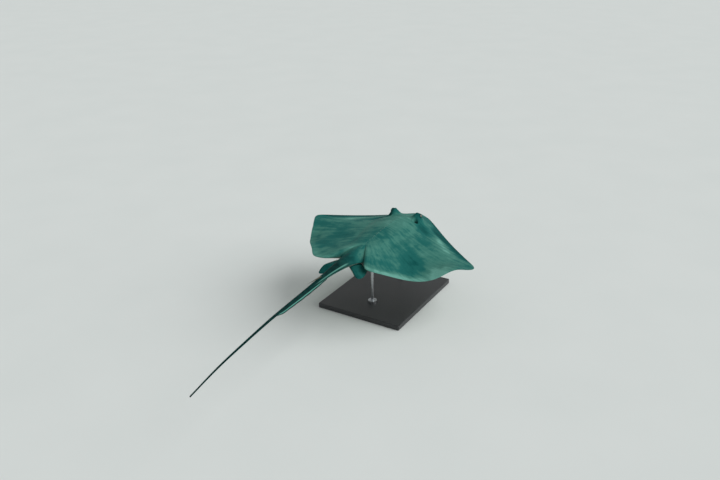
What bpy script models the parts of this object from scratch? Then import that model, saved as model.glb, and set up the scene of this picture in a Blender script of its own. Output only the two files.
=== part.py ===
"""Life-size display model of a southern stingray, swimming, on a plain two-rod stand.

Units are metres, +Z is up and the nose points towards -Y, so the ray's left wing is on +X.
The origin is the centre of the underside of the stand's base. The flesh is modelled whole, as
one surface worked out from a flat outline, thickness curves and a swimming flex, and is then
parted with thin cuts into head, trunk, wings and lengths of tail. Fins, fold, sting and rods
are trimmed against the same surface grown by the gap that keeps touching solids apart.
"""
import math

import bmesh
import bpy
import numpy as np

# ---- driving sizes, metres
SPAN = 0.90             # width of the disc laid flat, wing tip to wing tip
RIDE = 0.30             # height of the level of the wing margins over the floor
GAP = 0.0003            # clearance between solids that touch
CLEARANCE = 0.0004      # how far the flesh is grown to trim what meets it at a slant
EDGE = 0.0007           # half of the thickness of the fin margins

# ---- lengthwise stations, as fractions of SPAN (y runs from nose to tail)
NECK_Y = -0.12
NOTCH_Y = 0.335         # where the wing's inner margin meets the tail root
STING_Y = 0.60          # front of the sting, where the tail is parted
FOLD_END_Y = 0.97
TAIL_END_Y = 1.52

# ---- half outline of the flat disc: cubic pieces from the snout round to the tail root
OUTLINE = [
    [(0.000, -0.405), (0.050, -0.394), (0.112, -0.342), (0.200, -0.266)],   # snout
    [(0.200, -0.266), (0.300, -0.180), (0.395, -0.108), (0.470, -0.047)],   # front margin
    [(0.470, -0.047), (0.500, -0.022), (0.510, 0.000), (0.498, 0.028)],     # outer corner
    [(0.498, 0.028), (0.462, 0.118), (0.352, 0.280), (0.205, 0.375)],       # rear margin
    [(0.205, 0.375), (0.170, 0.399), (0.133, 0.416), (0.115, 0.405)],       # inner corner
    [(0.115, 0.405), (0.095, 0.390), (0.076, 0.362), (0.066, 0.335)],       # inner margin
]

# ---- curves over the body, each a list of (place, value) in fractions of SPAN
CREST = [(-0.405, 0.004), (-0.385, 0.013), (-0.33, 0.031), (-0.26, 0.058), (-0.17, 0.075),
         (-0.04, 0.080), (0.10, 0.069), (0.22, 0.053), (0.335, 0.034), (0.42, 0.0245),
         (0.60, 0.0128), (0.72, 0.0082), (0.84, 0.0062), (1.00, 0.0053), (1.25, 0.0040), (1.52, 0.0026)]
KEEL = [(-0.405, 0.003), (-0.38, 0.008), (-0.30, 0.022), (-0.15, 0.033), (0.0, 0.036),
        (0.15, 0.032), (0.25, 0.027), (0.335, 0.023), (0.42, 0.0190), (0.60, 0.0118),
        (0.72, 0.0080), (0.84, 0.0061), (1.00, 0.0052), (1.25, 0.0040), (1.52, 0.0026)]
TAIL_WIDTH = [(0.335, 0.066), (0.37, 0.049), (0.42, 0.036), (0.49, 0.025), (0.60, 0.0155),
              (0.72, 0.0102), (0.84, 0.0076), (1.00, 0.0059), (1.25, 0.0043), (1.52, 0.0026)]
RISE = [(-0.405, 0.0), (0.0, 0.0), (0.20, 0.008), (0.33, 0.028), (0.405, 0.039),
        (0.54, 0.044), (0.64, 0.042), (0.785, 0.037), (0.972, 0.027), (1.18, 0.005),
        (1.36, -0.020), (1.52, -0.054)]
MIDLINE = [(0.0, -0.405), (0.06, -0.375), (0.5, -0.05), (0.88, 0.175), (1.0, 0.205)]
ROOT_LEAN, ROOT_LEAN_END = 0.13, 0.14   # how far the tail's first rows still lean back

# ---- head, fractions of SPAN
EYE_X, EYE_Y = 0.072, -0.228
EYE_MOUND, MOUND_SPREAD_X, MOUND_SPREAD_Y = 0.0375, 0.026, 0.033
SPIRACLE_X, SPIRACLE_Y = 0.082, -0.186
SPIRACLE_DEPTH, SPIRACLE_SPREAD = 0.016, 0.013

# ---- parting lines between head, trunk and wings, fractions of SPAN
SHOULDER_X = 0.14
ROOT_X = 0.065
HEAD_FLARE = 0.35       # how fast the sides of the head open towards the front
CLEAR_X, CLEAR_Y = 0.80, -0.60      # well outside the wing tips and the snout

# ---- stand, metres
BASE_WIDTH, BASE_LENGTH, BASE_THICK, BASE_BEVEL = 0.44, 0.54, 0.025, 0.004
ROD_RADIUS = 0.007
COLLAR_RADIUS, COLLAR_HEIGHT = 0.021, 0.010
ROD_FRONT_Y, ROD_REAR_Y = -0.17, 0.13

# ---- how finely the flesh is faceted
BODY_ROWS, HALF_COLUMNS = 34, 12
TAIL_ROWS, TAIL_HALF_COLUMNS = 16, 4


def start_clean():
    """Removes what the scene holds and returns the collections for the model and the cutters."""
    for old in list(bpy.data.objects):
        bpy.data.objects.remove(old, do_unlink=True)
    made = []
    for title in ("stingray_model", "stingray_cutters"):
        group = bpy.data.collections.new(title)
        bpy.context.scene.collection.children.link(group)
        made.append(group)
    return made


MODEL, CUTTERS = start_clean()


def finish_material(name, colour, roughness, metallic=0.0):
    """A Principled material with the part's colour (linear RGB), roughness and metallic value."""
    material = bpy.data.materials.new(name)
    material.use_nodes = True
    shader = material.node_tree.nodes["Principled BSDF"]
    shader.inputs["Base Color"].default_value = (*colour, 1.0)
    shader.inputs["Roughness"].default_value = roughness
    shader.inputs["Metallic"].default_value = metallic
    material.diffuse_color = (*colour, 1.0)
    return material


BACK_SKIN = finish_material("grey_green_skin", (0.075, 0.13, 0.115), 0.45)
FIN_SKIN = finish_material("dark_fin_skin", (0.035, 0.065, 0.060), 0.45)
STING_BONE = finish_material("sting_dentine", (0.36, 0.31, 0.22), 0.40)
EYE_GLOSS = finish_material("eye_dark_gloss", (0.012, 0.014, 0.010), 0.08)
BASE_PAINT = finish_material("base_black_paint", (0.02, 0.02, 0.022), 0.50)
ROD_STEEL = finish_material("rod_brushed_steel", (0.56, 0.57, 0.58), 0.28, 1.0)


# ------------------------------------------------------------------ the ray's surface
def curve_through(stations, places):
    """Smooth curve through (place, value) stations: cubic pieces whose slopes are shared."""
    x, value = np.array(stations, float).T
    slope = np.gradient(value, x)
    k = np.clip(np.searchsorted(x, places, side="right") - 1, 0, len(x) - 2)
    run = x[k + 1] - x[k]
    t = np.clip((places - x[k]) / run, 0.0, 1.0)
    start = (2 * t**3 - 3 * t**2 + 1) * value[k] + (t**3 - 2 * t**2 + t) * run * slope[k]
    end = (3 * t**2 - 2 * t**3) * value[k + 1] + (t**3 - t**2) * run * slope[k + 1]
    return start + end


def outline_points(samples=120):
    """Points along the half outline and their share of its length, from 0 to 1."""
    pieces = []
    for corners in OUTLINE:
        a, b, c, d = np.array(corners)
        t = np.linspace(0.0, 1.0, samples)[:, None]
        pieces.append((1 - t)**3 * a + 3 * (1 - t)**2 * t * b + 3 * (1 - t) * t**2 * c + t**3 * d)
    points = np.concatenate(pieces)
    share = np.concatenate([[0.0], np.cumsum(np.hypot(*np.diff(points, axis=0).T))])
    return points, share / share[-1]


def disc_rows(shares):
    """For each share of the outline: the midline place, and the margin point it is joined to."""
    points, along = outline_points()
    margin_x = np.interp(shares, along, points[:, 0])
    margin_y = np.interp(shares, along, points[:, 1])
    return curve_through(MIDLINE, shares), margin_x, margin_y


def tail_rows(stations):
    """The same for the tail, whose rows straighten from the root on."""
    lean = ROOT_LEAN * np.clip(1 - (stations - NOTCH_Y) / ROOT_LEAN_END, 0, 1)**2
    return stations - lean, curve_through(TAIL_WIDTH, stations), stations


def heights(centre_y, margin_x, reach):
    """Height of the back and depth of the belly over the level of the margins, in SPAN.

    Both are a round body, a bell across the midline, added to a muscular wing that thins out
    towards the margin. The wing's share fades towards the tail, whose section is round.
    """
    x = np.abs(reach) * margin_x
    thin = 1.0 - np.abs(reach)**1.6
    round_off = np.sqrt(np.clip(1.0 - reach**2, 0.0, 1.0))
    fade = np.clip((centre_y - 0.25) / 0.15, 0.0, 1.0)
    body_share = 0.48 + 0.52 * fade**2 * (3 - 2 * fade)
    back = body_share * np.exp(-(x / 0.135)**2) + (1 - body_share) * thin
    belly = body_share * np.exp(-(x / 0.150)**2) + (1 - body_share) * thin
    return (curve_through(CREST, centre_y) * round_off * back,
            curve_through(KEEL, centre_y) * round_off * belly)


def head_relief(x, y):
    """Mounds that carry the eyes, and the pits of the spiracles behind them, in SPAN."""
    side = np.abs(x)
    far = ((side - EYE_X) / MOUND_SPREAD_X)**2 + ((y - EYE_Y) / MOUND_SPREAD_Y)**2
    mound = np.exp(-far**1.22)
    pit = np.exp(-(((side - SPIRACLE_X) / 0.8)**2 + (y - SPIRACLE_Y)**2) / SPIRACLE_SPREAD**2)
    return EYE_MOUND * mound - SPIRACLE_DEPTH * pit


def swim(x, y):
    """Lift and sideways draw of the flat body in mid-stroke, in SPAN.

    The left wing is raised and drawn in, the right wing is pressed down, most of all in a wave
    along its rear margin, and the rear of the body rides up into an arched tail.
    """
    out = np.clip((np.abs(x) - 0.07) / 0.43, 0.0, 1.2)
    rear = np.clip((y + 0.28) / 0.62, 0.0, 1.0)
    left_lift = (0.040 * (1 - rear) + 0.024 * rear) * out**1.5
    left_lift -= 0.004 * np.exp(-((x - 0.22)**2 + (y - 0.37)**2) / 0.10**2)
    left_lift -= 0.034 * np.exp(-((x - 0.42)**2 + (y - 0.22)**2) / 0.10**2)
    right_lift = (-0.056 * (1 - rear) - 0.036 * rear) * out**1.2
    right_lift -= 0.037 * np.exp(-((x + 0.28)**2 + (y - 0.23)**2) / 0.145**2)
    right_lift += 0.028 * np.exp(-((x + 0.44)**2 + (y - 0.11)**2) / 0.08**2)
    right_lift -= 0.008 * np.sin(math.pi * np.clip(out, 0.0, 1.0))
    lift = np.where(x > 0, left_lift, right_lift) + curve_through(RISE, y)
    left_draw = -0.030 - 0.022 * np.clip((y + 0.02) / 0.12, 0.0, 1.0)
    draw_in = np.where(x > 0, left_draw, 0.008) * out**2
    left_sweep = 0.026 * np.exp(-((x - 0.19)**2 + (y - 0.385)**2) / 0.06**2) - 0.030 * out**2
    sweep = np.where(x > 0, left_sweep, 0.0)
    return lift, draw_in, sweep


def surface(rows, reach, upper):
    """World points of the back (upper) or belly for fan rows and reaches from -1 to 1."""
    centre_y, margin_x, margin_y = (values[:, None] for values in rows)
    across = np.abs(reach)[None, :]
    x = reach[None, :] * margin_x
    y = centre_y + across * (margin_y - centre_y)
    back, belly = heights(centre_y, margin_x, reach[None, :])
    if upper:
        z = back + head_relief(x, y) + EDGE / SPAN
    else:
        z = -belly - EDGE / SPAN
    lift, draw_in, sweep = swim(x, y)
    points = np.stack([x + np.sign(x) * draw_in, y + sweep, z + lift], axis=-1) * SPAN
    points[..., 2] += RIDE
    return points


def column_reaches(half_columns):
    """Reaches from margin to margin, closest together over the eyes and near the margins."""
    step = np.linspace(0.0, 1.0, half_columns + 1)
    half = curve_through([(0.0, 0.0), (0.25, 0.17), (0.60, 0.40), (0.80, 0.69), (0.93, 0.94),
                          (1.0, 1.0)], step)
    return np.concatenate([-half[:0:-1], half])


def body_mesh(rows, half_columns, name):
    """Closed loft of the rings that back and belly make on each row."""
    reach = column_reaches(half_columns)
    back = surface(rows, reach, True)
    belly = surface(rows, reach[::-1], False)
    return loft(name, np.concatenate([back, belly], axis=1))


def loft(name, rings):
    """Triangle mesh through a stack of equal closed rings, with both ends capped.

    Every square is split along the same diagonal, so that a grown copy keeps clear all over.
    """
    shape = bmesh.new()
    stack = [[shape.verts.new(point) for point in ring] for ring in rings]
    count = len(stack[0])
    for near, far in zip(stack, stack[1:]):
        for k in range(count):
            nxt = (k + 1) % count
            shape.faces.new((near[k], near[nxt], far[nxt], far[k]))
    shape.faces.new(stack[0])
    shape.faces.new(stack[-1])
    bmesh.ops.recalc_face_normals(shape, faces=shape.faces)
    bmesh.ops.triangulate(shape, faces=shape.faces, quad_method="FIXED")
    mesh = bpy.data.meshes.new(name)
    shape.to_mesh(mesh)
    shape.free()
    return mesh


def add_object(name, mesh, group, material=None):
    """Puts a mesh in the scene as a named object."""
    piece = bpy.data.objects.new(name, mesh)
    group.objects.link(piece)
    if material:
        mesh.materials.clear()
        mesh.materials.append(material)
    if group is CUTTERS:
        piece.hide_render = True
        piece.display_type = "WIRE"
    return piece


def cut(piece, cutter, operation):
    """Adds a Boolean modifier."""
    boolean = piece.modifiers.new(cutter.name, "BOOLEAN")
    boolean.operation = operation
    boolean.object = cutter
    boolean.solver = "EXACT"


def prism(name, corners):
    """Upright cutter over a convex outline in SPAN, drawn in by half of the gap."""
    flat = np.array(corners) * SPAN
    middle = flat.mean(axis=0)
    moved = []
    for k in range(len(flat)):
        lines = []
        for a, b in ((flat[k - 1], flat[k]), (flat[k], flat[(k + 1) % len(flat)])):
            normal = np.array([b[1] - a[1], a[0] - b[0]]) / np.hypot(*(b - a))
            normal *= np.sign(np.dot(normal, middle - a))
            lines.append((normal, np.dot(normal, a) + GAP / 2))
        (n1, d1), (n2, d2) = lines
        moved.append(np.linalg.solve(np.array([n1, n2]), np.array([d1, d2])))
    floor = [(x, y, RIDE - 0.25) for x, y in moved]
    roof = [(x, y, RIDE + 0.25) for x, y in moved]
    return add_object(name, loft(name, [floor, roof]), CUTTERS)


# ------------------------------------------------------------------ flesh, whole, then parted
def body_shares():
    """Shares of the outline for the rows of the disc, closest together on the head."""
    step = np.linspace(0.0, 1.0, BODY_ROWS)
    return curve_through([(0.0, 0.006), (0.10, 0.055), (0.22, 0.16), (0.50, 0.33), (0.75, 0.66),
                          (0.90, 0.88), (1.0, 1.0)], step)


def whole_rows():
    """Rows of the disc and of the tail root, up to just past where the tail is parted."""
    disc = disc_rows(body_shares())
    root = tail_rows(NOTCH_Y + (STING_Y + 0.02 - NOTCH_Y) * np.linspace(0.05, 1.0, 9)**1.4)
    return tuple(np.concatenate(pair) for pair in zip(disc, root))


def whip_rows():
    """Rows of the tail behind the sting's front."""
    step = np.linspace(0.0, 1.0, TAIL_ROWS)
    return tail_rows(STING_Y - 0.02 + (TAIL_END_Y - STING_Y + 0.02) * step)


HEAD_FRONT_X = SHOULDER_X + HEAD_FLARE * (NECK_Y - CLEAR_Y)
WING_REGION = [(HEAD_FRONT_X, CLEAR_Y), (CLEAR_X, CLEAR_Y), (CLEAR_X, STING_Y),
               (ROOT_X, STING_Y), (ROOT_X, NOTCH_Y), (SHOULDER_X, NECK_Y)]
REGIONS = {
    "head": [(-HEAD_FRONT_X, CLEAR_Y), (HEAD_FRONT_X, CLEAR_Y), (SHOULDER_X, NECK_Y),
             (-SHOULDER_X, NECK_Y)],
    "trunk": [(-SHOULDER_X, NECK_Y), (SHOULDER_X, NECK_Y), (ROOT_X, NOTCH_Y), (-ROOT_X, NOTCH_Y)],
    "wing_left": WING_REGION,
    "wing_right": [(-x, y) for x, y in WING_REGION],
    "tail_base": [(-ROOT_X, NOTCH_Y), (ROOT_X, NOTCH_Y), (ROOT_X, STING_Y), (-ROOT_X, STING_Y)],
}
TAIL_REGIONS = {
    "tail_mid": (STING_Y, FOLD_END_Y),
    "tail_whip": (FOLD_END_Y, TAIL_END_Y + 0.1),
}


def build_flesh():
    """Head, trunk, wings and the three lengths of the tail."""
    whole = body_mesh(whole_rows(), HALF_COLUMNS, "ray_whole")
    for name, corners in REGIONS.items():
        piece = add_object(name, whole.copy(), MODEL, BACK_SKIN)
        cut(piece, prism("part_" + name, corners), "INTERSECT")
    whip = body_mesh(whip_rows(), TAIL_HALF_COLUMNS, "ray_tail")
    for name, (front, rear) in TAIL_REGIONS.items():
        piece = add_object(name, whip.copy(), MODEL, FIN_SKIN)
        cut(piece, prism("part_" + name, [(-0.1, front), (0.1, front), (0.1, rear), (-0.1, rear)]),
            "INTERSECT")


def build_clearances():
    """The flesh grown outwards by the clearance, as the cutters that trim whatever touches it."""
    grown = []
    for name, rows, half_columns in (("clear_body", whole_rows(), HALF_COLUMNS),
                                     ("clear_tail", whip_rows(), TAIL_HALF_COLUMNS)):
        cutter = add_object(name, body_mesh(rows, half_columns, name), CUTTERS)
        swell = cutter.modifiers.new("grown", "DISPLACE")
        swell.strength = CLEARANCE
        swell.mid_level = 0.0
        grown.append(cutter)
    return grown


# ------------------------------------------------------------------ eyes
EYE_RADIUS = 0.0120
EYE_SINK = 0.0108       # how deep the eye's centre lies straight under the mound's flank


def eye_centre(side):
    """A point just inside the outer flank of the mound, where the eyeball sits."""
    x = side * (EYE_X + 0.0095)
    y = EYE_Y - 0.004
    share = np.interp(EYE_Y, curve_through(MIDLINE, np.linspace(0, 1, 200)), np.linspace(0, 1, 200))
    rows = disc_rows(np.array([share]))
    back, _ = heights(rows[0], rows[1], np.array([abs(x) / rows[1][0]]))
    lift, _, _ = swim(np.array([x]), np.array([y]))
    top = back[0] + head_relief(np.array([x]), np.array([y]))[0] + lift[0]
    return (x * SPAN, y * SPAN, RIDE + top * SPAN - EYE_SINK)


def build_eyes():
    """Two eyeballs, and the sockets for them in the head."""
    head = bpy.data.objects["head"]
    for name, side in (("eye_left", 1), ("eye_right", -1)):
        place = eye_centre(side)
        for title, radius, group in ((name, EYE_RADIUS, MODEL),
                                     ("socket_" + name, EYE_RADIUS + GAP, CUTTERS)):
            shape = bmesh.new()
            bmesh.ops.create_uvsphere(shape, u_segments=16, v_segments=10, radius=radius)
            mesh = bpy.data.meshes.new(title)
            shape.to_mesh(mesh)
            shape.free()
            ball = add_object(title, mesh, group, EYE_GLOSS if group is MODEL else None)
            ball.location = place
        cut(head, bpy.data.objects["socket_" + name], "DIFFERENCE")
        bpy.data.objects[name].data.shade_smooth()


# ------------------------------------------------------------------ pelvic fins, fold and sting
PELVIC_OUTLINE = [
    [(0.040, 0.262), (0.062, 0.290), (0.084, 0.338), (0.102, 0.390)],       # front margin
    [(0.102, 0.390), (0.113, 0.424), (0.118, 0.456), (0.102, 0.464)],       # outer corner
    [(0.102, 0.464), (0.086, 0.470), (0.056, 0.440), (0.034, 0.405)],       # rear margin
]
PELVIC_ROOT = [(0.012, 0.285), (0.012, 0.395)]
PELVIC_THICK = 0.0045   # half thickness at the root, metres
PELVIC_LEVEL_ROOT, PELVIC_LEVEL_EDGE = 0.020, 0.003
PELVIC_SWAY = {1: (0.012, 0.004, -0.024), -1: (0.009, -0.003, 0.0)}     # tip's way out, back and up


def build_pelvic_fin(name, side, clearance):
    """A thin rounded lobe under the wing's inner corner, trimmed where it meets the body."""
    points = []
    for corners in PELVIC_OUTLINE:
        a, b, c, d = np.array(corners)
        t = np.linspace(0.0, 1.0, 6)[(1 if points else 0):, None]
        points.extend((1 - t)**3 * a + 3 * (1 - t)**2 * t * b + 3 * (1 - t) * t**2 * c + t**3 * d)
    margin = np.array(points)
    along = np.linspace(0.0, 1.0, len(margin))[:, None]
    root = np.array(PELVIC_ROOT[0]) * (1 - along) + np.array(PELVIC_ROOT[1]) * along
    out = np.array([0.0, 0.30, 0.55, 0.78, 0.93, 1.0])
    flat = root[:, None, :] + out[None, :, None] * (margin - root)[:, None, :]
    level = PELVIC_LEVEL_ROOT + (PELVIC_LEVEL_EDGE - PELVIC_LEVEL_ROOT) * out[None, :]
    half = EDGE + (PELVIC_THICK - EDGE) * (1 - out[None, :])**0.8
    outwards, back, up = PELVIC_SWAY[side]
    behind = np.clip((flat[..., 1] - 0.40) / 0.07, 0.0, 1.0)
    level = level + up * out * behind**2 * (3 - 2 * behind)
    flat = flat + (out**2)[None, :, None] * np.array([outwards, back])
    half = np.broadcast_to(half, flat.shape[:2])
    top = np.dstack([side * flat[..., 0] * SPAN, flat[..., 1] * SPAN, RIDE + level * SPAN + half])
    low = np.dstack([side * flat[..., 0] * SPAN, flat[..., 1] * SPAN, RIDE + level * SPAN - half])
    fin = add_object(name, loft(name, np.concatenate([top, low[:, ::-1]], axis=1)), MODEL, FIN_SKIN)
    cut(fin, clearance, "DIFFERENCE")


FOLD_DEPTH = [(0.52, 0.000), (0.60, 0.014), (0.70, 0.0215), (0.84, 0.0215), (0.93, 0.0145),
              (0.965, 0.0030)]
FOLD_HALF_THICK = 0.0011


def build_fold(clearances):
    """The long low keel of skin under the tail: a thin blade, trimmed along the tail."""
    stations = np.linspace(FOLD_DEPTH[0][0] + 0.004, FOLD_DEPTH[-1][0], 16)
    axis = curve_through(RISE, stations)
    foot = axis - curve_through(KEEL, stations) - curve_through(FOLD_DEPTH, stations)
    rings = []
    for y, top, low in zip(stations * SPAN, RIDE + axis * SPAN, RIDE + foot * SPAN):
        rings.append([(FOLD_HALF_THICK, y, top), (-FOLD_HALF_THICK, y, top),
                      (-FOLD_HALF_THICK * 0.6, y, low - EDGE), (FOLD_HALF_THICK * 0.6, y, low - EDGE)])
    fold = add_object("tail_finfold", loft("tail_finfold", rings), MODEL, FIN_SKIN)
    for clearance in clearances:
        cut(fold, clearance, "DIFFERENCE")


STING_LENGTH, STING_HALF_WIDTH, STING_HALF_THICK = 0.105, 0.0038, 0.0020
STING_TILT = math.radians(9.0)


def build_sting(clearances):
    """The flat tapering sting on top of the tail, its root sunk in the skin."""
    start = STING_Y + 0.012
    tail_top = float(curve_through(RISE, np.array([start]))[0]
                     + curve_through(CREST, np.array([start]))[0]) * SPAN + RIDE
    rings = []
    for share in np.linspace(0.0, 1.0, 9):
        size = max(1.0 - share**1.6, 0.16)
        y = start * SPAN + share * STING_LENGTH * math.cos(STING_TILT)
        z = tail_top + STING_HALF_THICK * 0.5 + share * STING_LENGTH * math.sin(STING_TILT) * 0.6
        rings.append([(STING_HALF_WIDTH * size * math.cos(turn), y,
                       z + STING_HALF_THICK * size * math.sin(turn))
                      for turn in np.linspace(0.0, 2 * math.pi, 11)[:-1]])
    sting = add_object("sting", loft("sting", rings), MODEL, STING_BONE)
    for clearance in clearances:
        cut(sting, clearance, "DIFFERENCE")


# ------------------------------------------------------------------ stand
def build_stand(clearance):
    """A bevelled flat base and two turned rods, whose tops follow the belly."""
    bpy.ops.mesh.primitive_cube_add(size=1.0, location=(0.0, 0.0, BASE_THICK / 2))
    base = bpy.context.object
    base.name = base.data.name = "stand_base"
    base.scale = (BASE_WIDTH, BASE_LENGTH, BASE_THICK)
    bpy.ops.object.transform_apply(location=False, rotation=False, scale=True)
    for group in list(base.users_collection):
        group.objects.unlink(base)
    MODEL.objects.link(base)
    base.data.materials.append(BASE_PAINT)
    bevel = base.modifiers.new("eased_edges", "BEVEL")
    bevel.width = BASE_BEVEL
    bevel.segments = 2

    for name, y in (("stand_rod_front", ROD_FRONT_Y), ("stand_rod_rear", ROD_REAR_Y)):
        foot = BASE_THICK + GAP
        profile = [(0.0, RIDE), (ROD_RADIUS, RIDE), (ROD_RADIUS, foot + COLLAR_HEIGHT),
                   (COLLAR_RADIUS, foot + COLLAR_HEIGHT), (COLLAR_RADIUS, foot), (0.0, foot)]
        mesh = bpy.data.meshes.new(name)
        mesh.from_pydata([(x, 0.0, z) for x, z in profile],
                         [(k, k + 1) for k in range(len(profile) - 1)], [])
        rod = add_object(name, mesh, MODEL, ROD_STEEL)
        rod.location = (0.0, y, 0.0)
        screw = rod.modifiers.new("turned", "SCREW")
        screw.steps = screw.render_steps = 24
        screw.use_merge_vertices = True
        screw.merge_threshold = 0.00005
        cut(rod, clearance, "DIFFERENCE")


build_flesh()
CLEAR_BODY, CLEAR_TAIL = build_clearances()
build_eyes()
build_pelvic_fin("pelvic_fin_left", 1, CLEAR_BODY)
build_pelvic_fin("pelvic_fin_right", -1, CLEAR_BODY)
build_fold([CLEAR_BODY, CLEAR_TAIL])
build_sting([CLEAR_BODY, CLEAR_TAIL])
build_stand(CLEAR_BODY)
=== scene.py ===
"""Looks of the swimming stingray model: its skin, eyes, sting, thorns and display stand.

One skin stands for all the nodes of flesh. It is the same surface that the solids were parted
from, worked out finely and given its folds, slits, pores and markings. Metres, +Z up, nose to -Y.
"""
import math

import bmesh
import bpy
import numpy as np
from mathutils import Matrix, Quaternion, Vector


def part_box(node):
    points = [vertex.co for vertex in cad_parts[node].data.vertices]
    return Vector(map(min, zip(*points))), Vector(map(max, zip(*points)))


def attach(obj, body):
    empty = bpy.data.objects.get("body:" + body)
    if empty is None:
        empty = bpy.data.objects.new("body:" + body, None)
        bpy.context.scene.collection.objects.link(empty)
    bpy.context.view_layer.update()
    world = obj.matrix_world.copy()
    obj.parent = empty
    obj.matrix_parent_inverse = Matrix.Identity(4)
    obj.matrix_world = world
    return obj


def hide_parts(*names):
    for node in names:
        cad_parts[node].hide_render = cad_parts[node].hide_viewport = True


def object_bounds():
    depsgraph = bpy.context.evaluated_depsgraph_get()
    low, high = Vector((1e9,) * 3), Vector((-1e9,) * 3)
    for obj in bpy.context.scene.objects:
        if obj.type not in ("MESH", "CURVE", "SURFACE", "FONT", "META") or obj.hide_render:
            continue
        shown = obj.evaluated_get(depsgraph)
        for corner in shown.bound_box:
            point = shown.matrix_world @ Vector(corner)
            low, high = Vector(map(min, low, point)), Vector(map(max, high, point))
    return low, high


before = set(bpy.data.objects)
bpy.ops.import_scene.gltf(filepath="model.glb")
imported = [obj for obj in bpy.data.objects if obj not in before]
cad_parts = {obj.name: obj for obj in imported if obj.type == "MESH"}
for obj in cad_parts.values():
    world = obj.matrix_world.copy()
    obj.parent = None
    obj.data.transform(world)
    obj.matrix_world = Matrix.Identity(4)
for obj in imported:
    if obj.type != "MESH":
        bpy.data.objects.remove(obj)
cad_low, cad_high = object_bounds()

# ---------------------------------------------------------------- skin
# A southern stingray's skin, smooth and damp, drawn over the disc, the tail root and the whip.
# Back and belly are height fields over a fan of rows: each row joins a place on the midline to
# a place on the margin. The flat body is then bent into the stroke of the swim.
SPAN = 0.90             # width of the disc laid flat
RIDE = 0.30             # level of the margins over the floor
EDGE = 0.0007           # half of the thickness of the margins
NOTCH_Y = 0.335         # shares of SPAN from here on, y running from nose to tail
TAIL_END_Y = 1.52
ROOT_LEAN, ROOT_LEAN_END = 0.13, 0.14
TAIL_FORMS_END = 0.62   # the relief of back and belly stops before the sting

OUTLINE = [
    [(0.000, -0.405), (0.050, -0.394), (0.112, -0.342), (0.200, -0.266)],   # snout
    [(0.200, -0.266), (0.300, -0.180), (0.395, -0.108), (0.470, -0.047)],   # front margin
    [(0.470, -0.047), (0.500, -0.022), (0.510, 0.000), (0.498, 0.028)],     # outer corner
    [(0.498, 0.028), (0.462, 0.118), (0.352, 0.280), (0.205, 0.375)],       # rear margin
    [(0.205, 0.375), (0.170, 0.399), (0.133, 0.416), (0.115, 0.405)],       # inner corner
    [(0.115, 0.405), (0.095, 0.390), (0.076, 0.362), (0.066, 0.335)],       # inner margin
]
CREST = [(-0.405, 0.004), (-0.385, 0.013), (-0.33, 0.031), (-0.26, 0.058), (-0.17, 0.075),
         (-0.04, 0.080), (0.10, 0.069), (0.22, 0.053), (0.335, 0.034), (0.42, 0.0245),
         (0.60, 0.0128), (0.72, 0.0082), (0.84, 0.0062), (1.00, 0.0053), (1.25, 0.0040), (1.52, 0.0026)]
KEEL = [(-0.405, 0.003), (-0.38, 0.008), (-0.30, 0.022), (-0.15, 0.033), (0.0, 0.036),
        (0.15, 0.032), (0.25, 0.027), (0.335, 0.023), (0.42, 0.0190), (0.60, 0.0118),
        (0.72, 0.0080), (0.84, 0.0061), (1.00, 0.0052), (1.25, 0.0040), (1.52, 0.0026)]
TAIL_WIDTH = [(0.335, 0.066), (0.37, 0.049), (0.42, 0.036), (0.49, 0.025), (0.60, 0.0155),
              (0.72, 0.0102), (0.84, 0.0076), (1.00, 0.0059), (1.25, 0.0043), (1.52, 0.0026)]
RISE = [(-0.405, 0.0), (0.0, 0.0), (0.20, 0.008), (0.33, 0.028), (0.405, 0.039),
        (0.54, 0.044), (0.64, 0.042), (0.785, 0.037), (0.972, 0.027), (1.18, 0.005),
        (1.36, -0.020), (1.52, -0.054)]
MIDLINE = [(0.0, -0.405), (0.06, -0.375), (0.5, -0.05), (0.88, 0.175), (1.0, 0.205)]
EYE_X, EYE_Y = 0.072, -0.228
EYE_MOUND, MOUND_SPREAD_X, MOUND_SPREAD_Y = 0.0375, 0.026, 0.033
MOUND_POWER = 1.22                      # above 1 the mounds are flatter on top than a gaussian
SPIRACLE_X, SPIRACLE_Y = 0.082, -0.186
SPIRACLE_DEPTH, SPIRACLE_SPREAD = 0.016, 0.013


def curve_through(stations, places):
    """Smooth curve through (place, value) stations: cubic pieces whose slopes are shared."""
    x, value = np.array(stations, float).T
    slope = np.gradient(value, x)
    k = np.clip(np.searchsorted(x, places, side="right") - 1, 0, len(x) - 2)
    run = x[k + 1] - x[k]
    t = np.clip((places - x[k]) / run, 0.0, 1.0)
    start = (2 * t**3 - 3 * t**2 + 1) * value[k] + (t**3 - 2 * t**2 + t) * run * slope[k]
    end = (3 * t**2 - 2 * t**3) * value[k + 1] + (t**3 - t**2) * run * slope[k + 1]
    return start + end


def ease(t):
    """0 below 0, 1 above 1, and three t squared less two t cubed between."""
    t = np.clip(t, 0.0, 1.0)
    return t * t * (3.0 - 2.0 * t)


def bell(*ways):
    """Gaussian hill: 1 at its middle, given how many half widths off it a point lies each way."""
    return np.exp(-sum(way**2 for way in ways))


def cubic_run(pieces, samples):
    """Points along a run of cubic pieces, each the weighted mean of its four corners."""
    t = np.linspace(0.0, 1.0, samples)[:, None]
    a, b, c, d = (np.array([piece[k] for piece in pieces])[:, None, :] for k in range(4))
    points = (1 - t)**3 * a + 3 * (1 - t)**2 * t * b + 3 * (1 - t) * t**2 * c + t**3 * d
    return np.concatenate([points[:, :-1].reshape(-1, 2), points[-1, -1:]])


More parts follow.
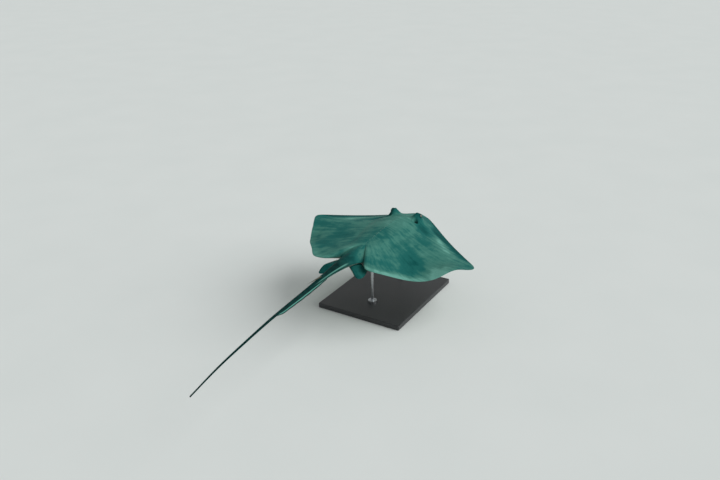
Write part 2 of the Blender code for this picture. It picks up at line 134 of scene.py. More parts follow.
def disc_rows(shares):
    """Midline place and margin point of the rows at these shares of the outline's length."""
    points = cubic_run(OUTLINE, 160)
    along = np.concatenate([[0.0], np.cumsum(np.hypot(*np.diff(points, axis=0).T))])
    along /= along[-1]
    margin_x = np.interp(shares, along, points[:, 0])
    margin_y = np.interp(shares, along, points[:, 1])
    return curve_through(MIDLINE, shares), margin_x, margin_y


def tail_rows(stations):
    """The same for the tail, whose rows lean back at the root and straighten behind it."""
    lean = ROOT_LEAN * np.clip(1 - (stations - NOTCH_Y) / ROOT_LEAN_END, 0, 1)**2
    return stations - lean, curve_through(TAIL_WIDTH, stations), stations


BACK_BELL, BELLY_BELL = 0.135, 0.150    # half widths of the bell that makes the body
BELL_SHARE, BELL_FROM, BELL_RUN = 0.48, 0.25, 0.15
WING_THINNING = 1.6


def heights(centre_y, margin_x, reach):
    """Back's height and belly's depth: a bell across the body plus a wing thinning outwards,
    both rounded off to nothing at the margin. The bell takes over towards the tail."""
    x = np.abs(reach) * margin_x
    thin = 1.0 - np.abs(reach)**WING_THINNING
    round_off = np.sqrt(np.clip(1.0 - reach**2, 0.0, 1.0))
    body_share = BELL_SHARE + (1 - BELL_SHARE) * ease((centre_y - BELL_FROM) / BELL_RUN)
    back = body_share * bell(x / BACK_BELL) + (1 - body_share) * thin
    belly = body_share * bell(x / BELLY_BELL) + (1 - body_share) * thin
    return (curve_through(CREST, centre_y) * round_off * back,
            curve_through(KEEL, centre_y) * round_off * belly)


def head_relief(x, y):
    """Gaussian mounds that carry the eyes, less the pits of the spiracles behind them."""
    side = np.abs(x)
    far = ((side - EYE_X) / MOUND_SPREAD_X)**2 + ((y - EYE_Y) / MOUND_SPREAD_Y)**2
    mound = np.exp(-far**MOUND_POWER)
    pit = np.exp(-(((side - SPIRACLE_X) / 0.8)**2 + (y - SPIRACLE_Y)**2) / SPIRACLE_SPREAD**2)
    return EYE_MOUND * mound - SPIRACLE_DEPTH * pit


# The stroke. A wing bends from its root outwards. Its tip's lift is given in front, behind, and
# as the power it grows by, and the waves on its rear margin as (x, y, spread, height).
WING_ROOT, WING_REACH = 0.07, 0.43
LEFT_LIFT, RIGHT_LIFT = (0.040, 0.024, 1.5), (-0.056, -0.036, 1.2)
LEFT_WAVES = [(0.22, 0.37, 0.10, -0.004), (0.42, 0.22, 0.10, -0.034)]
RIGHT_WAVES = [(-0.28, 0.23, 0.145, -0.037), (-0.44, 0.11, 0.08, 0.028)]
RIGHT_SAG = 0.008
LEFT_DRAW, LEFT_REAR_DRAW, RIGHT_DRAW = -0.030, -0.022, 0.008
LEFT_TIP_SWEEP, LEFT_CORNER_SWEEP = -0.030, [(0.19, 0.385, 0.06, 0.026)]


def wing_bend(out, rear, tip_lift):
    """Lift that grows as a power of the way out, and runs evenly from its front to its rear."""
    front_lift, rear_lift, power = tip_lift
    return (front_lift * (1 - rear) + rear_lift * rear) * out**power


def add_waves(lift, x, y, waves):
    """The lift with round gaussian waves added, each as (x, y, spread, height)."""
    for at_x, at_y, spread, height in waves:
        lift = lift + height * np.exp(-((x - at_x)**2 + (y - at_y)**2) / spread**2)
    return lift


def swim(x, y):
    """Lift, sideways draw and forward sweep of the stroke: powers of the way out along each
    wing, gaussian waves on the rear margins, and the rise of the rear along the midline."""
    out = np.clip((np.abs(x) - WING_ROOT) / WING_REACH, 0.0, 1.2)
    rear = np.clip((y + 0.28) / 0.62, 0.0, 1.0)
    left_lift = add_waves(wing_bend(out, rear, LEFT_LIFT), x, y, LEFT_WAVES)
    right_lift = add_waves(wing_bend(out, rear, RIGHT_LIFT), x, y, RIGHT_WAVES)
    right_lift -= RIGHT_SAG * np.sin(math.pi * np.clip(out, 0.0, 1.0))
    lift = np.where(x > 0, left_lift, right_lift) + curve_through(RISE, y)
    left_draw = LEFT_DRAW + LEFT_REAR_DRAW * np.clip((y + 0.02) / 0.12, 0.0, 1.0)
    draw_in = np.where(x > 0, left_draw, RIGHT_DRAW) * out**2
    left_sweep = add_waves(LEFT_TIP_SWEEP * out**2, x, y, LEFT_CORNER_SWEEP)
    sweep = np.where(x > 0, left_sweep, 0.0)
    return lift, draw_in, sweep


# Small forms that only the skin has, as (side place, y, half length, half width, depth, turn)
# in shares of SPAN and degrees: gill slits and nostrils are pairs, mouth and vent are single.
GILL_SLITS = [(0.100 - 0.0075 * k, -0.165 + 0.030 * k, 0.0120, 0.0036, 0.0055, 7.0 - k) for k in range(5)]
NOSTRILS = [(0.033, -0.290, 0.0085, 0.0052, 0.0065, -24.0)]
MOUTH_HALF, MOUTH_Y, MOUTH_BOW, MOUTH_DEPTH = 0.042, -0.266, 0.012, 0.0085
MOUTH_LIPS = [(0.0042, -0.0105, 0.0060), (0.0030, 0.0095, 0.0060)]      # height, shift, half width
VENT_HALF, VENT_HALF_WIDTH, VENT_Y, VENT_DEPTH = 0.016, 0.0050, 0.268, 0.006
SLIT_LIP, SLIT_LIP_SHIFT, SLIT_LIP_WIDTH = 0.4, -2.1, 1.3       # shares of the slit's own sizes


def trough(x, y, cut, shift=0.0, wider=1.0):
    """Smooth slit: gaussian across a turned line, flat along it and eased off at its ends."""
    side, middle, half_length, half_width, _, degrees = cut
    turn = math.radians(degrees)
    along = (x - side) * math.cos(turn) + (y - middle) * math.sin(turn)
    across = (y - middle) * math.cos(turn) - (x - side) * math.sin(turn) - shift
    ends = 1 - ease((np.abs(along) - half_length) / 0.004 + 0.5)
    return ends * bell(across / (half_width * wider))


def mouth_line(x, y, shift, half_width):
    """Gaussian band along the bow of the mouth, a parabola, eased off at its corners."""
    bow = MOUTH_Y + MOUTH_BOW * (1 - (x / MOUTH_HALF)**2) + shift
    return bell((y - bow) / half_width) * (1 - ease((np.abs(x) - MOUTH_HALF) / 0.008 + 0.5))


def vent_share(x, y):
    """Gaussian slot along the midline in front of the tail root."""
    return bell(x / VENT_HALF_WIDTH) * (1 - ease((np.abs(y - VENT_Y) - VENT_HALF) / 0.008 + 0.5))


def belly_relief(x, y):
    """Depth of the mouth, nostrils, gill slits and vent, each with raised lips beside it."""
    side = np.abs(x)
    relief = sum(height * mouth_line(x, y, shift, half) for height, shift, half in MOUTH_LIPS)
    relief -= MOUTH_DEPTH * mouth_line(x, y, 0.0, 0.0038) + VENT_DEPTH * vent_share(x, y)
    for cut in GILL_SLITS + NOSTRILS:
        half_width, depth = cut[3:5]
        relief -= depth * trough(side, y, cut)
        relief += SLIT_LIP * depth * trough(side, y, cut, SLIT_LIP_SHIFT * half_width, SLIT_LIP_WIDTH)
    return relief


def belly_hole_shade(x, y):
    """Share from 0 to 1 of how far inside one of the belly's openings a point lies: the skin is painted
    dark there as painted shade.
    """
    dark = np.maximum(mouth_line(x, y, 0.0, 0.0030), 0.5 * vent_share(x, y))
    for cut in GILL_SLITS + NOSTRILS:
        dark = np.maximum(dark, 0.8 * trough(np.abs(x), y, cut, 0.0, 0.7))
    return dark


def spiracle_distance(x, y):
    """Distance from the middle of the nearer spiracle, an oval that is longer than wide."""
    return np.sqrt(((np.abs(x) - SPIRACLE_X) / 0.82)**2 + ((y - SPIRACLE_Y) / 1.08)**2)


# The back's forms, in shares of SPAN: their places, half widths and lengths, and heights.
GROOVE_OUT, GROOVE_HALF, GROOVE_DEPTH = 0.130, 0.020, 0.0026
GULLY_SLANT, GULLY_MIDDLE = (0.66, 0.75), (0.150, -0.150)
GULLY_HALF, GULLY_LONG, GULLY_DEPTH = 0.020, 0.060, 0.0048
BETWEEN_Y, BETWEEN_HALF, BETWEEN_LONG, BETWEEN_DEPTH = -0.245, 0.034, 0.050, 0.0045
RIM_OUT, RIM_HALF, RIM_HEIGHT = 0.0205, 0.0050, 0.0018
HOLE_OUT, HOLE_EDGE, HOLE_DEPTH = 0.0085, 0.0060, 0.0120
RIDGE_HALF, RIDGE_FRONT, RIDGE_REAR, RIDGE_HEIGHT = 0.009, -0.16, 0.36, 0.0016


def along_gully(side, y, middle):
    """How far down the slanting trough from eye to wing a point lies, and how far beside it."""
    outwards, back = side - middle[0], y - middle[1]
    lean_out, lean_back = GULLY_SLANT
    return outwards * lean_out + back * lean_back, outwards * lean_back - back * lean_out


def back_relief(x, y):
    """The back's soft forms: a groove each side of the body, a trough from each eye out to the
    wing, a dip between the eyes, the spiracles with their rims, and a low median ridge."""
    side = np.abs(x)
    flank = GROOVE_OUT - 0.16 * np.clip(y + 0.05, 0, 0.5)
    groove = bell((side - flank) / GROOVE_HALF) * ease((y + 0.18) / 0.12)
    groove *= 1 - ease((y - 0.18) / 0.14)
    down, over = along_gully(side, y, GULLY_MIDDLE)
    gully = np.exp(-(over / GULLY_HALF)**2 - (down / GULLY_LONG)**4)
    between = bell(side / BETWEEN_HALF, (y - BETWEEN_Y) / BETWEEN_LONG)
    far = spiracle_distance(x, y)
    rim = bell((far - RIM_OUT) / RIM_HALF) * (1 + 0.6 * np.tanh((y - SPIRACLE_Y) / 0.01))
    hole = 1 - ease((far - HOLE_OUT) / HOLE_EDGE)
    ridge = bell(side / RIDGE_HALF) * ease((y - RIDGE_FRONT) / 0.08) * (1 - ease((y - RIDGE_REAR) / 0.2))
    return (RIDGE_HEIGHT * ridge + RIM_HEIGHT * rim - GROOVE_DEPTH * groove - GULLY_DEPTH * gully
            - BETWEEN_DEPTH * between - HOLE_DEPTH * hole)


# Soft oval patches of light and dark on the back, as (side place, y, half width, half length,
# strength on the left side, and on the right). The wing patches differ between the sides as
# painted light and shade: the right outer wing is painted lighter and its middle darker than the left's.
PATCHES = [
    (0.000, -0.13, 0.075, 0.12, 0.75, 0.75),        # nape
    (0.045, 0.27, 0.030, 0.07, 0.60, 0.60),         # flanks
    # the outer and mid wing strengths differ between the sides as painted light and shade
    (0.360, 0.06, 0.110, 0.10, -0.15, 0.50),        # outer wings
    (0.210, 0.14, 0.090, 0.09, -0.14, -0.55),       # mid wings
    (0.000, 0.40, 0.070, 0.07, -1.40, -1.40),       # tail root
]
# painted shade along the trough from each eye out to the wing
GULLY_SHADE_MIDDLE, GULLY_PAINTED_SHADE = (0.126, -0.172), 1.35
MOUND_DARK = 1.10
# the front edges are darkened as their own dusky margin and as painted shade of the turned-down margin; the
# band behind each is a painted highlight
FRONT_DUSK_AND_PAINTED_SHADE, FRONT_PAINTED_HIGHLIGHT = 1.10, 0.90     # of the front edges, and of the band behind each
# the pale rear rim is partly the margin's own paleness and partly painted light, stronger on the right wing
RIM_PALE_AND_PAINTED_LIGHT_LEFT, RIM_PALE_AND_PAINTED_LIGHT_RIGHT = 0.45, 1.10
# Shares of the outline's length where the front edges end, and where the rear rim runs.
FRONT_ENDS, RIM_BEGINS, RIM_ENDS = 0.42, 0.55, 0.94


def back_tone(x, y, out, along):
    """Light and dark of the back about 0: the soft patches, whose wing patches differ between the sides
    as painted light and shade, dark eye mounds, painted shade in the gullies, front edges darkened as
    their own dusky margin and as painted shade of the turned-down margin, a painted highlight in a band
    behind each front edge, and a pale rim behind, partly the margin's own and partly painted light,
    weaker on the left."""
    side = np.abs(x)
    tone = np.zeros_like(x)
    for at_side, at_y, half_width, half_length, left, right in PATCHES:
        patch = bell((side - at_side) / half_width, (y - at_y) / half_length)
        tone += np.where(x > 0, left, right) * patch
    down, over = along_gully(side, y, GULLY_SHADE_MIDDLE)
    tone -= GULLY_PAINTED_SHADE * bell(over / 0.030, down / 0.055)
    tone -= MOUND_DARK * np.exp(-(((side - EYE_X) / 0.023)**2 + ((y - EYE_Y) / 0.025)**2)**1.3)
    # dark front edge, dusky margin and painted shade, with a painted highlight in the band behind it
    front = 1 - ease((along - FRONT_ENDS) / 0.05)
    inner = 0.79 - 0.24 * bell((along - 0.235) / 0.065)
    tone -= FRONT_DUSK_AND_PAINTED_SHADE * front * ease((out - inner) / 0.14)
    tone += FRONT_PAINTED_HIGHLIGHT * front * ease((along - 0.26) / 0.06) * bell((out - 0.70) / 0.080)
    # pale rear rim, partly the margin's own and partly painted light, wider and stronger on the right
    rear = ease((along - RIM_BEGINS) / 0.1) * (1 - ease((along - RIM_ENDS) / 0.05))
    start = 0.84 - np.where(x > 0, 0.0, 0.12 * (1 - ease((along - 0.78) / 0.08)))
    rim = np.where(x > 0, RIM_PALE_AND_PAINTED_LIGHT_LEFT, RIM_PALE_AND_PAINTED_LIGHT_RIGHT) * ease((out - start) / (0.95 - start))
    tone += rim * (1 - front) * rear
    return tone


# Rings have more columns over the back than under the belly. Their quarters divide by 8, so that
# the tail can keep every second, fourth and eighth column.
SHARE_MADE = 1
BACK_QUARTER, BELLY_QUARTER = 120 // SHARE_MADE, 56 // SHARE_MADE
DISC_ROWS, TAIL_ROWS = 208 // SHARE_MADE, 150 // SHARE_MADE
BACK_STATIONS = [(0.0, 0.0), (0.07, 0.17), (0.14, 0.22), (0.70, 0.50), (0.78, 0.58), (0.93, 0.93),
                 (0.975, 0.992), (1.0, 1.0)]
BELLY_STATIONS = [(0.0, 0.0), (0.20, 0.11), (0.60, 0.30), (0.70, 0.42), (0.90, 0.93), (0.965, 0.992),
                  (1.0, 1.0)]


def column_reaches():
    """Signed reaches round a ring: over the back from right to left margin, then back under the
    belly. They are closest over the eyes, and at the margins, whose edge is round."""
    back = curve_through(BACK_STATIONS, np.linspace(0.0, 1.0, BACK_QUARTER + 1))
    belly = curve_through(BELLY_STATIONS, np.linspace(0.0, 1.0, BELLY_QUARTER + 1))
    over = np.concatenate([-back[:0:-1], back])
    under = np.concatenate([belly[-2::-1], -belly[1:-1]])
    return np.concatenate([over, under]), np.arange(len(over) + len(under)) < len(over)


def disc_shares():
    """Shares of the outline for the disc's rows, closest over the eyes, and closer at the snout's
    tip, the mouth and the gill slits. Rows are spent evenly on a sum of gaussian wants."""
    fine = np.linspace(0.0, 1.0, 4001)
    centre = curve_through(MIDLINE, fine)
    wanted = 1.0 + 6.0 * np.exp(-((centre + 0.216) / 0.049)**4) + 3.0 * bell(fine / 0.02)
    wanted += 1.6 * np.exp(-((centre + 0.288) / 0.030)**4) + 1.3 * np.exp(-((centre + 0.10) / 0.075)**4)
    spent = np.cumsum(wanted)
    return np.interp(np.linspace(spent[0], spent[-1], DISC_ROWS), spent, fine + 0.0004 * (1 - fine))


GAZE = (0.84, -0.24, 0.38)              # of the left eye


def eye_frames():
    """Centre of each eyeball from its node's box, with its gaze and the axes across it."""
    found = []
    for name, side in (("eye_left", 1.0), ("eye_right", -1.0)):
        low, high = (np.array(corner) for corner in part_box(name))
        gaze = np.array([side * GAZE[0], GAZE[1], GAZE[2]]) / np.linalg.norm(GAZE)
        level = np.cross(gaze, [0.0, 0.0, 1.0])
        level /= np.linalg.norm(level)
        found.append(((low + high) / 2, gaze, level, np.cross(level, gaze)))
    return found


EYE_RADIUS = (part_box("eye_left")[1][2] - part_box("eye_left")[0][2]) / 2
LID_LONG = 0.80 * EYE_RADIUS            # half length of the opening between the lids
LID_SQUASH = 0.80                       # its height over its length
LID_THICK = 0.0013
LID_CAP, LID_SLOPE = 0.83, 1.49         # share of the ball under the round cap, fall of the cone
LID_BLEND = 0.0036
LID_REACH, LID_FADE = 0.020, 0.014      # where the lids' form starts to fade, and over how far
LID_FLOOR, LID_CEILING = -0.003, 0.001  # ends of the opening, from the ball and from its last ring
# Raised rim and two creases round the opening: way out, half width, height, and more of it above.
LID_FOLDS = [(0.0018, 0.0013, 0.0006, 0.0004), (0.0048, 0.0012, -0.0006, -0.0003),
             (0.0086, 0.0015, -0.0004, -0.0003)]
# Section of the opening, as its way out from the oval and its height over the ball: a wall, a
# rounded lip, and a bell that trims the skin to a slope towards the eye.
LID_SECTION = [(0.0, -0.0010), (0.0, 0.0003), (0.0002, 0.0009), (0.0006, 0.0014), (0.0012, 0.0020),
               (0.0021, 0.0030), (0.0034, 0.0047), (0.0050, 0.0075), (0.0070, 0.0120)]


def lids(points):
    """Moves skin near an eye along its gaze, so that it lies at least a lid's thickness over the
    ball: a cap that runs on into a cone, blended smoothly, with a raised rim and creases."""
    for centre, gaze, level, upright in eye_frames():
        away = points - centre
        ahead, across, above = away @ gaze, away @ level, away @ upright
        straight = np.hypot(across, above)
        past = np.hypot(across, above / LID_SQUASH) - LID_LONG
        upper = above / straight.clip(1e-9)
        reach = EYE_RADIUS + LID_THICK * (1.0 + 0.45 * upper)
        bend = LID_CAP * reach
        cap = np.sqrt(reach**2 - np.minimum(straight, bend)**2)
        cover = cap - LID_SLOPE * (straight - bend).clip(0)
        lifted = 0.5 * (ahead + cover + np.sqrt((ahead - cover)**2 + LID_BLEND**2))
        for way_out, half_width, height, more_above in LID_FOLDS:
            lifted += (height + more_above * upper) * bell((past - way_out) / half_width)
        share = 1 - ease((straight - LID_REACH) / LID_FADE)
        share *= ease((ahead + 2 * EYE_RADIUS) / (0.8 * EYE_RADIUS))
        points = points + (share * (lifted - ahead))[..., None] * gaze
    return points


SNOUT_ROUND = 0.010                     # half width of the rows that round off the snout's tip
STING_ROOT_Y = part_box("sting")[0][1] / SPAN
SHEATH_HEIGHT = 0.0056


def sting_sheath(x, y):
    """Low mound that the sting grows out of: flat-topped across, long in front, short behind."""
    length = np.where(y < STING_ROOT_Y, 0.024, 0.010)
    return SHEATH_HEIGHT * np.exp(-(x / 0.0080)**4 - ((y - STING_ROOT_Y) / length)**2)


TAIL_TONE_Y, TAIL_TONE_RUN = 0.38, 0.07     # where the back's marking gives way to the tail's


def skin_points(rows, reach, is_back, on_disc):
    """World points of whole rings, and their marks. A point is placed on its fan row, raised by
    the height and the relief there, bent by the stroke, and moved clear of the eye by the lids."""
    centre_y, margin_x, margin_y = (values[:, None] for values in rows[:3])
    out = np.abs(reach)[None, :]
    x = reach[None, :] * margin_x
    y = centre_y + out * (margin_y - centre_y)
    blunt = np.sqrt(1 - (1 - margin_x / SNOUT_ROUND).clip(0)**2) if on_disc else 1.0
    back, belly = (height * blunt for height in heights(centre_y, margin_x, reach[None, :]))
    inset = np.clip(1 - (1 - out) * margin_x * SPAN / (2 * EDGE), 0, 1)
    edge = EDGE / SPAN * np.sqrt(1 - inset**2)
    fine = ease((1 - out) / 0.12) * (margin_y < TAIL_FORMS_END)
    top = back + edge + head_relief(x, y) + fine * back_relief(x, y) + sting_sheath(x, y)
    under = -belly - edge - fine * belly_relief(x, y)
    z = np.where(is_back[None, :], top, under)
    lift, draw_in, sweep = swim(x, y)
    points = np.stack([x + np.sign(x) * draw_in, y + sweep, z + lift], axis=-1) * SPAN
    points[..., 2] += RIDE
    along = np.broadcast_to(rows[3][:, None], x.shape)
    on_tail = ease((y - TAIL_TONE_Y) / TAIL_TONE_RUN)
    tone = back_tone(x, y, out, along) * (1 - on_tail)
    flank = bell((out - 0.90) / 0.08) * (1 - ease((y - TAIL_FORMS_END) / 0.1))
    tone = tone + 0.7 * flank * on_tail
    # the spiracles' pits and the belly's openings are painted dark as painted shade in the holes
    pit = 1 - ease((spiracle_distance(x, y) - 0.0075) / 0.0055)
    hole_shade = np.where(is_back[None, :], pit, belly_hole_shade(x, y))
    marks = {"along": along, "out": np.broadcast_to(reach[None, :], x.shape), "tone": tone,
             "belly": np.broadcast_to(1.0 - is_back[None, :], x.shape), "hole_shade": hole_shade}
    return (lids(points) if on_disc else points), marks


def ring_faces(near, far):
    """Faces between two closed rings of vertex numbers: squares where they are equal, and
    three triangles to each step of the further ring where that one has half as many."""
    nxt_near, nxt_far = np.roll(near, -1), np.roll(far, -1)
    if len(near) == len(far):
        return np.stack([near, nxt_near, nxt_far, far], axis=1).tolist()
    a, b, c = near[0::2], near[1::2], np.roll(near[0::2], -1)
    return np.concatenate([np.stack([a, b, far], axis=1), np.stack([b, nxt_far, far], axis=1),
                           np.stack([b, c, nxt_far], axis=1)]).tolist()


def stack_numbers(rings):
    """Vertex numbers of a stack of rings of one width, a row to a ring."""
    rows, width = rings.shape[:2]
    return np.arange(rows * width).reshape(rows, width)


def stack_faces(numbers):
    """Faces between the neighbouring rings of a stack, given its rows of vertex numbers."""
    return [face for near, far in zip(numbers, numbers[1:]) for face in ring_faces(near, far)]


def pole_faces(ring, pole, flip):
    """Triangles that close a ring at a pole, turned over where flip is -1."""
    return np.stack([np.roll(ring, -1), ring, np.full(len(ring), pole)], axis=1)[:, ::flip].tolist()


def make_piece(name, points, faces):
    """A mesh object at the origin from world points and faces."""
    mesh = bpy.data.meshes.new(name)
    mesh.from_pydata(points.tolist(), [], faces)
    mesh.validate()
    mesh.shade_smooth()
    piece = bpy.data.objects.new(name, mesh)
    bpy.context.scene.collection.objects.link(piece)
    return piece


def give_marks(piece, marks):
    """Stores one number a vertex under each name, for the material to read."""
    for name, values in marks.items():
        layer = piece.data.attributes.new(name, "FLOAT", "POINT")
        layer.data.foreach_set("value", np.ascontiguousarray(values, dtype=np.float32))


def marks_of(piece):
    """The piece's stored numbers, as one array a name."""
    marks = {}
    for name in ("along", "out", "tone", "belly", "hole_shade"):
        marks[name] = np.empty(len(piece.data.vertices))
        piece.data.attributes[name].data.foreach_get("value", marks[name])
    return marks


def fill_seam_marks(piece):
    """A seam's new vertices carry no marks. Each takes the mean of the marked ones that an edge
    joins it to, and this is repeated until none is left."""
    marks = marks_of(piece)
    ends = np.empty(2 * len(piece.data.edges), dtype=np.int32)
    piece.data.edges.foreach_get("vertices", ends)
    ends = ends.reshape(-1, 2)
    here, there = np.concatenate([ends, ends[:, ::-1]]).T
    blank = ~np.any([marks[name] for name in ("along", "out", "tone", "belly")], axis=0)
    while blank.any():
        known = blank[here] & ~blank[there]
        met = np.bincount(here[known], minlength=len(blank))
        for values in marks.values():
            total = np.bincount(here[known], values[there[known]], len(blank))
            values[met > 0] = total[met > 0] / met[met > 0]
        blank &= met == 0
    for name, values in marks.items():
        piece.data.attributes[name].data.foreach_set("value", values.astype(np.float32))


TAIL_HALVINGS = (0.43, 0.55, 0.75)      # stations where the rings lose every second column


def body_skin():
    """The disc and the tail as one closed stack of rings, halved in number down the tail."""
    reach, is_back = column_reaches()
    shares = disc_shares()
    stations = NOTCH_Y + (TAIL_END_Y - NOTCH_Y) * np.linspace(0.0, 1.0, TAIL_ROWS + 1)[1:]**1.25
    over_sheath = STING_ROOT_Y + np.linspace(-0.036, 0.021, 14)
    stations = np.sort(np.append(stations, over_sheath))
    tail = tail_rows(stations) + (1 + (stations - NOTCH_Y) / (TAIL_END_Y - NOTCH_Y),)
    halved = np.searchsorted(TAIL_HALVINGS, stations)
    stacks = [skin_points(disc_rows(shares) + (shares,), reach, is_back, True)]
    for times in np.unique(halved):
        kept = slice(None, None, 2**times)
        chosen = tuple(values[halved == times] for values in tail)
        stacks.append(skin_points(chosen, reach[kept], is_back[kept], False))

    numbers, used = [], 0
    for points, _ in stacks:
        numbers += list(used + stack_numbers(points))
        used += points[..., 0].size
    faces = stack_faces(numbers)
    points = np.concatenate([points.reshape(-1, 3) for points, _ in stacks])
    tips = []
    for ring, flip in ((numbers[0], 1), (numbers[-1], -1)):
        faces += pole_faces(ring, used + len(tips), flip)
        tip = points[ring].mean(axis=0)
        tip[0] = 0.0        # on the midline, without the noise that rounding leaves in the mean
        tips.append(tip)
    marks = {}
    for name in stacks[0][1]:
        values = np.concatenate([marks[name].ravel() for _, marks in stacks])
        marks[name] = np.concatenate([values, values[[numbers[0][0], numbers[-1][0]]]])
    piece = make_piece("skin", np.concatenate([points, tips]), faces)
    give_marks(piece, marks)
    return piece


PELVIC_OUTLINE = [
    [(0.040, 0.262), (0.062, 0.290), (0.084, 0.338), (0.102, 0.390)],       # front margin
    [(0.102, 0.390), (0.113, 0.424), (0.118, 0.456), (0.102, 0.464)],       # outer corner
    [(0.102, 0.464), (0.086, 0.470), (0.056, 0.440), (0.034, 0.405)],       # rear margin
]
PELVIC_ROOT = [(0.012, 0.285), (0.012, 0.395)]
PELVIC_THICK = 0.0045
PELVIC_LEVEL_ROOT, PELVIC_LEVEL_EDGE = 0.020, 0.003
PELVIC_FRONT_LIFT, PELVIC_FRONT = 0.008, 0.22   # its front rows rise under the wing
PELVIC_REAR = 0.86                      # its last rows thin away to nothing
PELVIC_RAYS, PELVIC_RAY_HEIGHT = 13, 0.0003
PELVIC_SWAY = {1.0: (0.012, 0.004, -0.024), -1.0: (0.009, -0.003, 0.0)}  # tip's way out, back, up


def pelvic_skin(side):
    """A lobe under the wing's inner corner: rows from a root line to the fin's margin, as thick
    as the distance to the margin raised to 0.8, and round at the edge. The front rows rise into
    the wing, the last ones thin away along a quarter circle, and a sine gives low fin rays."""
    margin = cubic_run(PELVIC_OUTLINE, 20)
    along = np.linspace(0.0, 1.0, len(margin))[:, None]
    root = np.array(PELVIC_ROOT[0]) * (1 - along) + np.array(PELVIC_ROOT[1]) * along
    out = np.sin(np.linspace(0.0, math.pi / 2, 26))
    flat = root[:, None, :] + out[None, :, None] * (margin - root)[:, None, :]
    outwards, back, up = PELVIC_SWAY[side]
    level = PELVIC_LEVEL_ROOT + (PELVIC_LEVEL_EDGE - PELVIC_LEVEL_ROOT) * out
    level = level + up * out * ease((flat[..., 1] - 0.40) / 0.07)
    level = level + PELVIC_FRONT_LIFT * (1 - ease(along / PELVIC_FRONT))
    flat = flat + (out**2)[None, :, None] * np.array([outwards, back])
    rim = np.sqrt(np.clip(1 - ((out - 0.97) / 0.03).clip(0)**2, 0, 1))
    half = PELVIC_THICK * (1 - out)**0.8 + EDGE * rim
    half = half * np.sqrt(1 - ((along - PELVIC_REAR) / (1.0001 - PELVIC_REAR)).clip(0)**2)
    rays = PELVIC_RAY_HEIGHT * np.sin(along * 2 * math.pi * PELVIC_RAYS) * out * (1 - out)**0.3
    top, low = (np.dstack([side * flat[..., 0] * SPAN, flat[..., 1] * SPAN,
                           RIDE + level * SPAN + up_or_down * half + up_or_down * rays])
                for up_or_down in (1, -1))
    rings = np.concatenate([top, low[:, -2::-1]], axis=1)[:, ::int(side)]
    numbers = stack_numbers(rings)
    faces = stack_faces(numbers) + [numbers[0][::-1].tolist(), numbers[-1].tolist()]
    piece = make_piece("pelvic_%s" % ("left" if side > 0 else "right"), rings.reshape(-1, 3), faces)
    rows, width = numbers.shape
    under = np.concatenate([np.zeros(len(out)), np.ones(len(out) - 1)])[::int(side)]
    reach = np.concatenate([out, out[-2::-1]])[::int(side)]
    fading = 0.6 + 0.4 * ease((along[:, 0] - 0.12) / 0.25)
    # the front of the lobe's upper side lies hidden under the wing, and is as pale as the belly
    hidden = 1 - ease((along - 0.22) / 0.12)
    # behind the hidden front, the lobe's upper side is darkened as painted shade under the wing
    give_marks(piece, {"along": np.repeat(0.86 + 0.2 * along[:, 0], width),
                       "out": side * np.outer(fading, reach).ravel(),
                       "belly": 0.8 * np.maximum(hidden, under[None, :]).ravel(),
                       "tone": np.full(rows * width, -0.7), "hole_shade": np.zeros(rows * width)})
    return piece


FOLD_DEPTH = [(0.52, 0.000), (0.60, 0.014), (0.70, 0.0215), (0.84, 0.0215), (0.93, 0.0145),
              (0.965, 0.0030)]
FOLD_HALF_THICK = 0.0011
FOLD_RIPPLE, FOLD_WAVES = 0.0006, 95    # sideways, and radians of it to one SPAN


def fold_skin():
    """The low keel of skin under the tail: a blade hung from the tail's axis, whose rim carries
    a fine ripple, with its thickness falling from root to rim."""
    stations = np.linspace(FOLD_DEPTH[0][0] + 0.004, FOLD_DEPTH[-1][0], 90)
    axis = curve_through(RISE, stations)
    depth = curve_through(KEEL, stations) + curve_through(FOLD_DEPTH, stations)
    share = np.linspace(0.0, 1.0, 14)
    drop = share[None, :] * depth[:, None] * SPAN
    rim = np.sqrt(1 - ((share - 0.93).clip(0) / 0.0701)**2)
    half = FOLD_HALF_THICK * (1 - 0.4 * share)[None, :] * rim
    ripple = FOLD_RIPPLE * share[None, :]**2 * np.sin(stations * FOLD_WAVES)[:, None]
    y = np.broadcast_to((stations * SPAN)[:, None], drop.shape)
    z = RIDE + axis[:, None] * SPAN - drop
    left = np.dstack([ripple + half, y, z])
    right = np.dstack([ripple - half, y, z])[:, -2::-1]
    rings = np.concatenate([left, right], axis=1)
    numbers = stack_numbers(rings)
    faces = stack_faces(numbers) + [numbers[0][::-1].tolist(), numbers[-1].tolist()]
    piece = make_piece("fold", rings.reshape(-1, 3), faces)
    rows, width = numbers.shape
    # a pale band along the middle of the web, painted light as if it shone through the thin skin
    web = 1.5 * bell((share - 0.62) / 0.16) - 0.5
    give_marks(piece, {"along": np.repeat(1 + (stations - NOTCH_Y) / (TAIL_END_Y - NOTCH_Y), width),
                       "out": np.tile(np.concatenate([share, share[-2::-1]]), rows),
                       "tone": np.tile(np.concatenate([web, web[-2::-1]]), rows),
                       "belly": np.zeros(rows * width), "hole_shade": np.zeros(rows * width)})
    return piece


